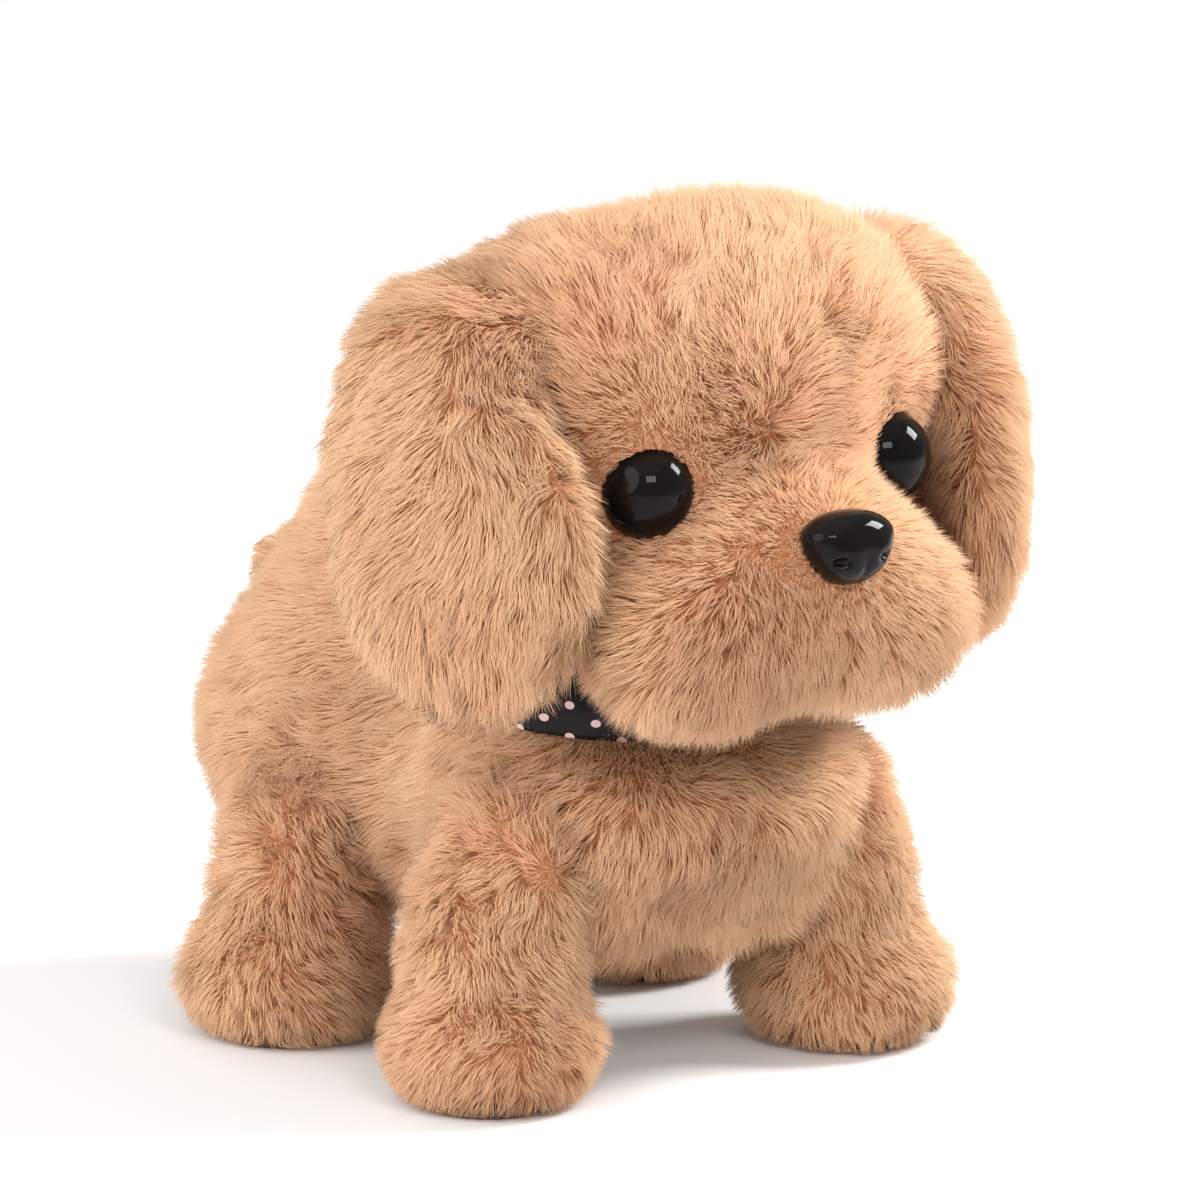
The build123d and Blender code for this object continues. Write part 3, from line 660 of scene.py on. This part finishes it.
def satin_material():
    """Black satin with small pale dots in staggered rows, a fine weave and a painted sheen along
    it.
    """
    nodes = Nodes("neckerchief_satin")
    maths = nodes.maths
    place = nodes.add("ShaderNodeUVMap", uv_map="cloth")
    parts = nodes.add("ShaderNodeSeparateXYZ")
    nodes.link(place.outputs["UV"], parts.inputs["Vector"])
    row = maths("DIVIDE", parts.outputs["Y"], DOT_ROW)
    stagger = maths("MULTIPLY", maths("MODULO", maths("FLOOR", row), 2.0), 0.5)
    column = maths("ADD", maths("DIVIDE", parts.outputs["X"], DOT_STEP), stagger)
    squares = []
    for count, size in ((row, DOT_ROW), (column, DOT_STEP)):
        away = maths("MULTIPLY", maths("SUBTRACT", maths("FRACT", count), 0.5), size)
        squares.append(maths("MULTIPLY", away, away))
    dot = maths("LESS_THAN", maths("ADD", *squares), DOT_R * DOT_R)
    weave = maths("SINE", maths("MULTIPLY", parts.outputs["X"], WEAVE_TURN))
    # painted sheen: lighter stripes along the weave
    painted_sheen = nodes.ramp(weave, (0.2, grey(0)), (0.9, grey(1)))
    cloth = nodes.mix(colour(14, 13, 15), colour(30, 28, 32), painted_sheen)
    whole = nodes.mix(cloth, colour(238, 205, 205), dot)
    nodes.paint(whole, Roughness=0.45, Specular_IOR_Level=0.2, Sheen_Weight=0.02)
    nodes.bump(weave, 0.25, 0.0001)
    return nodes.material


FIBRES = fur_material()
BACKING = skin_material()
SLOT_MATERIALS = {
    "padding": moulded("padding_fibre", colour(232, 230, 224), 0.95, 300.0, 0.8),
    "black_gloss": gloss_black(),
    "grey_plastic": moulded("grey_plastic", colour(150, 148, 145), 0.5),
    "white_plastic": moulded("white_plastic", colour(226, 226, 222), 0.42),
    "black_plastic": moulded("black_plastic", colour(30, 30, 32), 0.45),
    "board_green": moulded("board_green", colour(38, 104, 66), 0.4, 700.0, 0.15),
    "steel": moulded("plated_steel", colour(186, 187, 190), 0.28, 900.0, 0.1, 1.0),
    "cell_jacket": moulded("cell_jacket", colour(62, 68, 76), 0.35, 900.0, 0.08),
    "pinion_brass": moulded("pinion_brass", colour(204, 168, 92), 0.3, 900.0, 0.1, 1.0),
    "sole_rubber": moulded("sole_rubber", colour(112, 78, 56), 0.75, 350.0, 0.5),
}


def paint_frame():
    """Gives every CAD node that stays visible its procedural material."""
    for part in frame["record"]["subparts"]:
        material = SLOT_MATERIALS.get(part["material_slot"])
        materials = frame["nodes"][part["node"]].data.materials
        if material is not None:
            materials.clear()
            materials.append(material)


# ---------------------------------------------------------------- combing and trimming
LEFT_RIGHT = (("left", 1), ("right", -1))
DOWN = np.array((0, 0, -1.0))
FINE_SKIN, COARSE_SKIN = 7, 6  # how often the skin's triangles are divided
BODY_FUR, HEAD_FUR, EAR_FUR, LEG_FUR, TAIL_FUR = 8.6, 8.2, 8.5, 7.0, 4.5
BODY_DENSITY, HEAD_DENSITY, EAR_DENSITY = 3.7, 4.4, 4.2
EAR_LEAN = 0.6
NOSE_R = 8.0  # the nose as the trimmed fur goes round it
EYE_FADE, NOSE_FADE = 12.0, 18.0  # fur has its full length this far from the eyes and the nose
FACE_TRIM = 0.68  # the share of the fur's length that is cut away there
EYE_RAISED, NOSE_RAISED = 1.9, 3.1  # how far the skin comes up under the trimmed fur
EYE_BARE, NOSE_BARE = 0.97 * EYE_R, 7.2  # no fibres this close to their middles
BOX_BARE = 3.0  # no fibres this close to the battery box
PAW_BARE = 0.3  # or this close to the bottom of a paw
PAW_MIDDLE_X, PAW_MIDDLE_Z = 44.0, 12.0
# Comb directions, and how strongly the fur also follows the others named here.
ALONG_BACK, DOWN_CHEST = np.array((0, 0.9, -0.45)), np.array((0, -0.1, -1.0))
DOWN_TAIL = np.array((0, 0.6, -0.8))
SIDEWAYS, HEAD_FALL, EAR_OUT, EAR_SPREAD, PAW_SPREAD = 0.25, 0.8, 0.6, 0.35, 0.45
SOLE_TRIM = 0.4  # the share of a leg fibre's length that is cut away at the sole


def fade(values, start, width):
    """0 up to a start, rising to 1 over a width."""
    return np.clip((values - start) / width, 0, 1)


def level(millimetres):
    """Fur of one length."""
    return lambda points: np.full(len(points), float(millimetres))


def trunk_guide(points):
    """Body fur runs back and down, straight down on the chest."""
    front = fade(-points[:, 1:2], 10, 30)
    sideways = np.sign(points[:, :1]) * np.array((SIDEWAYS, 0, 0))
    return ALONG_BACK * (1 - front) + DOWN_CHEST * front + sideways


def trunk_keep(points):
    """No roots where the battery box shows at the belly."""
    x, y, z = points.T
    over = (np.abs(x) < BOX_HIGH[0] + BOX_BARE) & (z < BELLY + BOX_BARE)
    return ~(over & (y > BOX_LOW[1] - BOX_BARE) & (y < BOX_HIGH[1] + BOX_BARE))


def face_gaps(points):
    """How far each point is from the nearer eye's middle, and from the nose's."""
    folded = points.copy()
    folded[:, 0] = np.abs(folded[:, 0])
    return np.linalg.norm(folded - EYE, axis=1), np.linalg.norm(points - NOSE, axis=1)


def face_nearness(points):
    """From 0 in the open to 1 at the rim of the eyes, and the same for the nose."""
    eye_gap, nose_gap = face_gaps(points)
    return 1 - fade(eye_gap, EYE_R, EYE_FADE), 1 - fade(nose_gap, NOSE_R, NOSE_FADE)


def head_guide(points):
    """Fur runs away from the nose and falls down the sides."""
    away = unit(points - (NOSE + (0, 4, 6)))
    return away + HEAD_FALL * DOWN * (1 - fade(points[:, 2:3], 65, 60))


def head_length(points):
    """Short fur round the eyes and the nose."""
    return HEAD_FUR * (1 - FACE_TRIM * np.maximum(*face_nearness(points)))


def head_raised(points):
    """The skin comes up where the fur is short, round the eyes and the nose."""
    by_eye, by_nose = face_nearness(points)
    return np.maximum(EYE_RAISED * by_eye, NOSE_RAISED * by_nose)


def head_keep(points):
    """No roots under the eyes and the nose."""
    eye_gap, nose_gap = face_gaps(points)
    return (eye_gap > EYE_BARE) & (nose_gap > NOSE_BARE)


def ear_guide(side, middle):
    """Ear fur hangs down and away from the ear's middle."""
    outer = ear_axes(side)[0]
    return lambda points: DOWN + EAR_OUT * outer + EAR_SPREAD * unit(points - middle)


def paw_guide(hip):
    """Fur falls down a left leg and spreads over the paw."""
    middle = np.array((PAW_MIDDLE_X, paw_y(hip), PAW_MIDDLE_Z))

    def guide(points):
        spread = unit((points - middle) * np.array((1, 1, 0.2)))
        return DOWN + PAW_SPREAD * spread * fade(points[:, 2:3], 4, 20)

    return guide


def mirrored_guide(guide):
    """The same comb direction on the right side."""
    flip = np.array((-1.0, 1.0, 1.0))
    return lambda points: guide(points * flip) * flip


def leg_length(points):
    """Leg fur gets shorter towards the sole."""
    return LEG_FUR * (1 - SOLE_TRIM * (1 - fade(points[:, 2], 2, 12)))


def leg_keep(points):
    """No roots under the paw, where the sole pad is."""
    return points[:, 2] > PAW_BOTTOM + PAW_BARE


def tail_guide(points):
    """Tail fur runs back and down."""
    return np.tile(DOWN_TAIL, (len(points), 1))


# ---------------------------------------------------------------- plush pieces
def plush(
    name,
    body,
    nodes,
    distance,
    middle,
    detail,
    guide,
    length,
    hidden_by,
    density=BODY_DENSITY,
    raised=None,
    keep=None,
    lean=LEAN,
):
    """A plush piece: its backing and its fibres, with the CAD nodes they stand for hidden."""
    skin = skin_shape(distance, middle, detail, raised)
    backing = new_mesh_object(f"{name}_backing", skin[0], skin[2])
    backing.data.materials.append(BACKING)
    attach(backing, body)
    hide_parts(*nodes)
    fur = grow_fur(f"{name}_fur", skin, guide, density, length, hidden_by, keep, lean)
    for piece in fur:
        piece.data.materials.append(FIBRES)
        piece.parent = backing


EARS = {side: ear_shape(sign) for side, sign in LEFT_RIGHT}
LEGS = {"front": (HIP, leg_shape(HIP)), "hind": (HIND_HIP, leg_shape(HIND_HIP))}
left_legs = [distance for hip, distance in LEGS.values()]

plush(
    "trunk",
    "chassis",
    ("body_cover", "body_padding"),
    trunk_distance,
    (0, 5, 68),
    FINE_SKIN,
    trunk_guide,
    level(BODY_FUR),
    [head_distance, *left_legs, *map(mirrored_distance, left_legs), tail_distance],
    keep=trunk_keep,
)
plush(
    "head",
    "head",
    ("head_cover", "head_padding"),
    head_distance,
    (0, -46, 116),
    FINE_SKIN,
    head_guide,
    head_length,
    [trunk_distance, *(distance for distance, middle in EARS.values())],
    density=HEAD_DENSITY,
    keep=head_keep,
    raised=head_raised,
)
for side, sign in LEFT_RIGHT:
    distance, middle = EARS[side]
    plush(
        f"{side}_ear",
        f"{side}_ear",
        (f"{side}_ear",),
        distance,
        middle,
        COARSE_SKIN,
        ear_guide(sign, middle),
        level(EAR_FUR),
        [head_distance],
        density=EAR_DENSITY,
        lean=EAR_LEAN,
    )
for end, (hip, distance) in LEGS.items():
    guide = paw_guide(hip)
    for side, sign in LEFT_RIGHT:
        plush(
            f"{side}_{end}_leg",
            f"{side}_{end}_leg",
            (f"{side}_{end}_leg_cover",),
            distance if sign > 0 else mirrored_distance(distance),
            (sign * LEG_INSIDE_X, hip[1], LEG_INSIDE_Z),
            COARSE_SKIN,
            guide if sign > 0 else mirrored_guide(guide),
            leg_length,
            [trunk_distance],
            keep=leg_keep,
        )
plush(
    "tail",
    "tail",
    ("tail_cover",),
    tail_distance,
    TAIL_ROOT + (0, 8, -3),
    COARSE_SKIN,
    tail_guide,
    level(TAIL_FUR),
    [trunk_distance],
)

# ---------------------------------------------------------------- eyes and nose
EYE_DETAIL, NOSE_DETAIL = 5, 6
EYE_BACK = 2.0  # an eye is cut flat this far behind its middle
NOSE_SEMI = np.array((9.6, 6.3, 7.0))
NOSE_FULLNESS = 0.86  # below 1 the rounded shape bulges towards its corners
NOSE_WIDTH, NOSE_TAPER = 0.912, 0.28  # its width half way up, and how much that changes
FOOT_TOP, FOOT_SETBACK = -2.0, 0.04  # below this height the nose draws back
NOSTRIL, NOSTRIL_HOLE, NOSTRIL_RIM = (5.0, -1.4), (1.5, 0.9), (3.0, 2.4)
HOLE_DEPTH, RIM_HEIGHT = 1.9, 0.5
GROOVE_WIDTH, GROOVE_DEPTH = 0.8, 0.7


def button(name, points, faces, node):
    """A glossy black piece on the head."""
    piece = new_mesh_object(name, points, faces)
    piece.data.materials.append(SLOT_MATERIALS["black_gloss"])
    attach(piece, "head")
    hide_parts(node)


def eye_piece(side, sign):
    """A polished ball, cut flat where it goes into the head."""
    directions, faces = sphere_directions(EYE_DETAIL)
    points = directions * EYE_R
    points[:, 1] = np.minimum(points[:, 1], EYE_BACK)
    button(f"{side}_eye_dome", points + EYE * np.array((sign, 1, 1)), faces, f"{side}_eye")


def nose_piece():
    """A moulded nose: wide rounded top, narrow foot, two nostrils and a groove."""
    directions, faces = sphere_directions(NOSE_DETAIL)
    points = np.sign(directions) * np.abs(directions) ** NOSE_FULLNESS * NOSE_SEMI
    height = points[:, 2] / NOSE_SEMI[2]
    points[:, 0] *= NOSE_WIDTH + NOSE_TAPER * np.minimum(height, 0.5)
    points[:, 1] += FOOT_SETBACK * np.minimum(points[:, 2] - FOOT_TOP, 0) ** 2
    seen = points[:, (0, 2)]

    def spot(middle, size):
        """1 at a place seen from the front, falling softly to 0 round it."""
        return np.exp(-(((seen - middle) / size) ** 2).sum(axis=1))

    dent = GROOVE_DEPTH * np.exp(-((seen[:, 0] / GROOVE_WIDTH) ** 2)) * np.clip(-height, 0, 1)
    for sign in (-1, 1):
        middle = (sign * NOSTRIL[0], NOSTRIL[1])
        dent += HOLE_DEPTH * spot(middle, NOSTRIL_HOLE) - RIM_HEIGHT * spot(middle, NOSTRIL_RIM)
    points[:, 1] += dent * (points[:, 1] < 0)
    button("nose_button", points + NOSE, faces, "nose")


for side, sign in LEFT_RIGHT:
    eye_piece(side, sign)
nose_piece()

# ---------------------------------------------------------------- neckerchief
BAND_STEPS, BAND_ROWS = 240, 15  # points round the neck and from top to bottom
BAND_SEMI = ((BAND_HIGH[0] - BAND_LOW[0]) / 2, 33.3)
BAND_MIDDLE_Y = -20.0
BAND_TOP, BAND_WIDTH = 85.0, 12.0
FRONT_DIP, FRONT_WIDER = 3.0, 2.5  # in front its top is lower and it is wider
FRONT_FLARE = 3.2  # and its lower edge stands off the chest
BAND_BULGE = 1.1
FOLDS = (0.5, 9, 4)  # depth, number round the neck, and how far they slant
CREASES = (0.35, 23)  # depth and number of the small ones
CLOTH_THICK = 0.5
DOTTED_WIDTH = 16.0  # the pattern's width from top to bottom


def band_points():
    """The inner and the outer face of the folded cloth, and the pattern's places on it."""
    angle = (math.tau * np.arange(BAND_STEPS) / BAND_STEPS)[:, None]
    share = np.arange(BAND_ROWS) / (BAND_ROWS - 1)
    x, y = np.sin(angle), -np.cos(angle)
    front = np.maximum(np.cos(angle), 0)
    folds = FOLDS[0] * np.sin(FOLDS[1] * angle + FOLDS[2] * share) * share
    creases = CREASES[0] * np.sin(CREASES[1] * angle)
    bulge = BAND_BULGE * np.sin(math.pi * share) + FRONT_FLARE * share * front + folds + creases
    height = BAND_TOP - FRONT_DIP * front - share * (BAND_WIDTH + FRONT_WIDER * front)
    faces = []
    for out in (bulge, bulge + CLOTH_THICK):
        places = (BAND_SEMI[0] * x + x * out, BAND_MIDDLE_Y + BAND_SEMI[1] * y + y * out, height)
        faces.append(np.stack(places, axis=2).reshape(-1, 3))
    neck = np.hstack((BAND_SEMI[0] * x, BAND_SEMI[1] * y))
    run = np.cumsum(np.linalg.norm(np.diff(neck, axis=0, prepend=neck[:1]), axis=1))
    pattern = np.stack(np.broadcast_arrays(run[:, None], share * DOTTED_WIDTH), axis=2)
    return np.concatenate(faces), np.tile(pattern.reshape(-1, 2), (2, 1))


def band_faces():
    """Triangles of the two faces of the cloth and of the rims between them."""
    outer = BAND_STEPS * BAND_ROWS
    faces = []

    def quad(first, second, third, fourth):
        faces.extend(((first, second, third), (first, third, fourth)))

    for step in range(BAND_STEPS):
        top, next_top = step * BAND_ROWS, (step + 1) % BAND_STEPS * BAND_ROWS
        for row in range(BAND_ROWS - 1):
            a, b = top + row, next_top + row
            quad(a, a + 1, b + 1, b)
            quad(outer + a, outer + b, outer + b + 1, outer + a + 1)
        low, next_low = top + BAND_ROWS - 1, next_top + BAND_ROWS - 1
        quad(top, next_top, outer + next_top, outer + top)
        quad(low, outer + low, outer + next_low, next_low)
    return np.array(faces)


def neckerchief():
    """The folded cloth round the neck, deeper at the front, with soft ripples."""
    points, pattern = band_points()
    faces = band_faces()
    cloth = new_mesh_object("neckerchief_cloth", points, faces)
    layer = cloth.data.uv_layers.new(name="cloth")
    layer.data.foreach_set("uv", pattern[faces.ravel()].ravel())
    cloth.data.materials.append(satin_material())
    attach(cloth, "chassis")
    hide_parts("neckerchief")


neckerchief()
paint_frame()

# ---------------------------------------------------------------- floor, light and camera
FLOOR_SIZE = 8.0
WORLD_STRENGTH = 0.48
# Name, power, width in degrees and direction of each distant light.
SUNS = (
    ("overhead", 0.35, 70, (0.12, 0.10, -1.0)),
    ("window", 2.1, 60, (0.85, 0.0, -0.45)),
    ("back", 0.4, 60, (0.15, -0.9, -0.5)),
)
# Name, power, place and size in metres of each lamp.
LAMPS = (
    ("key", 3.4, (-0.35, -0.85, 0.75), (0.40, 0.26)),
    ("fill", 12.0, (0.80, -0.35, 0.70), (0.35, 0.35)),
)
LAMP_TARGET = Vector((0, 0, 0.09))
VIEW_TARGET = Vector((0.00546, -0.00706, 0.0845))
VIEW_FROM = Vector((-0.583, -0.785, 0.206))
VIEW_REACH = 2.0
VIEW_WIDTH = 0.2273  # metres across the picture at the target
SENSOR = 36.0


def placed(name, data, direction):
    """An object that looks along a direction."""
    holder = bpy.data.objects.new(name, data)
    bpy.context.collection.objects.link(holder)
    holder.rotation_euler = direction.to_track_quat("-Z", "Y").to_euler()
    return holder


def studio():
    """A pale floor, an even grey sky and large soft lights."""
    bpy.context.scene.view_settings.view_transform = "Standard"
    bpy.ops.mesh.primitive_plane_add(size=FLOOR_SIZE, location=(0, 0, 0))
    floor = bpy.context.object
    floor.name = "floor"
    paper = Nodes("floor_paper")
    paper.paint(colour(246, 246, 246), Roughness=0.9)
    floor.data.materials.append(paper.material)
    floor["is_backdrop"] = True
    world = bpy.data.worlds.new("studio")
    world.use_nodes = True
    sky = world.node_tree.nodes["Background"].inputs
    sky["Color"].default_value = (1, 1, 1, 1)
    sky["Strength"].default_value = WORLD_STRENGTH
    bpy.context.scene.world = world
    for name, power, width, direction in SUNS:
        sun = bpy.data.lights.new(name, "SUN")
        sun.energy = power
        sun.angle = math.radians(width)
        placed(name, sun, Vector(direction))
    for name, power, place, size in LAMPS:
        lamp = bpy.data.lights.new(name, "AREA")
        lamp.energy = power
        lamp.shape = "RECTANGLE"
        lamp.size, lamp.size_y = size
        placed(name, lamp, LAMP_TARGET - Vector(place)).location = place


def camera():
    """The view from in front and from the puppy's right, a little from above."""
    back = VIEW_FROM.normalized()
    view = bpy.data.cameras.new("view")
    view.sensor_width = SENSOR
    view.lens = SENSOR * VIEW_REACH / VIEW_WIDTH
    holder = placed("view", view, -back)
    holder.location = VIEW_TARGET + back * VIEW_REACH
    bpy.context.scene.camera = holder


studio()
camera()
bpy.context.view_layer.update()
boxes = {"cad": CAD_BOX, "visual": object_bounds()}
{name: [list(corner) for corner in box] for name, box in boxes.items()}
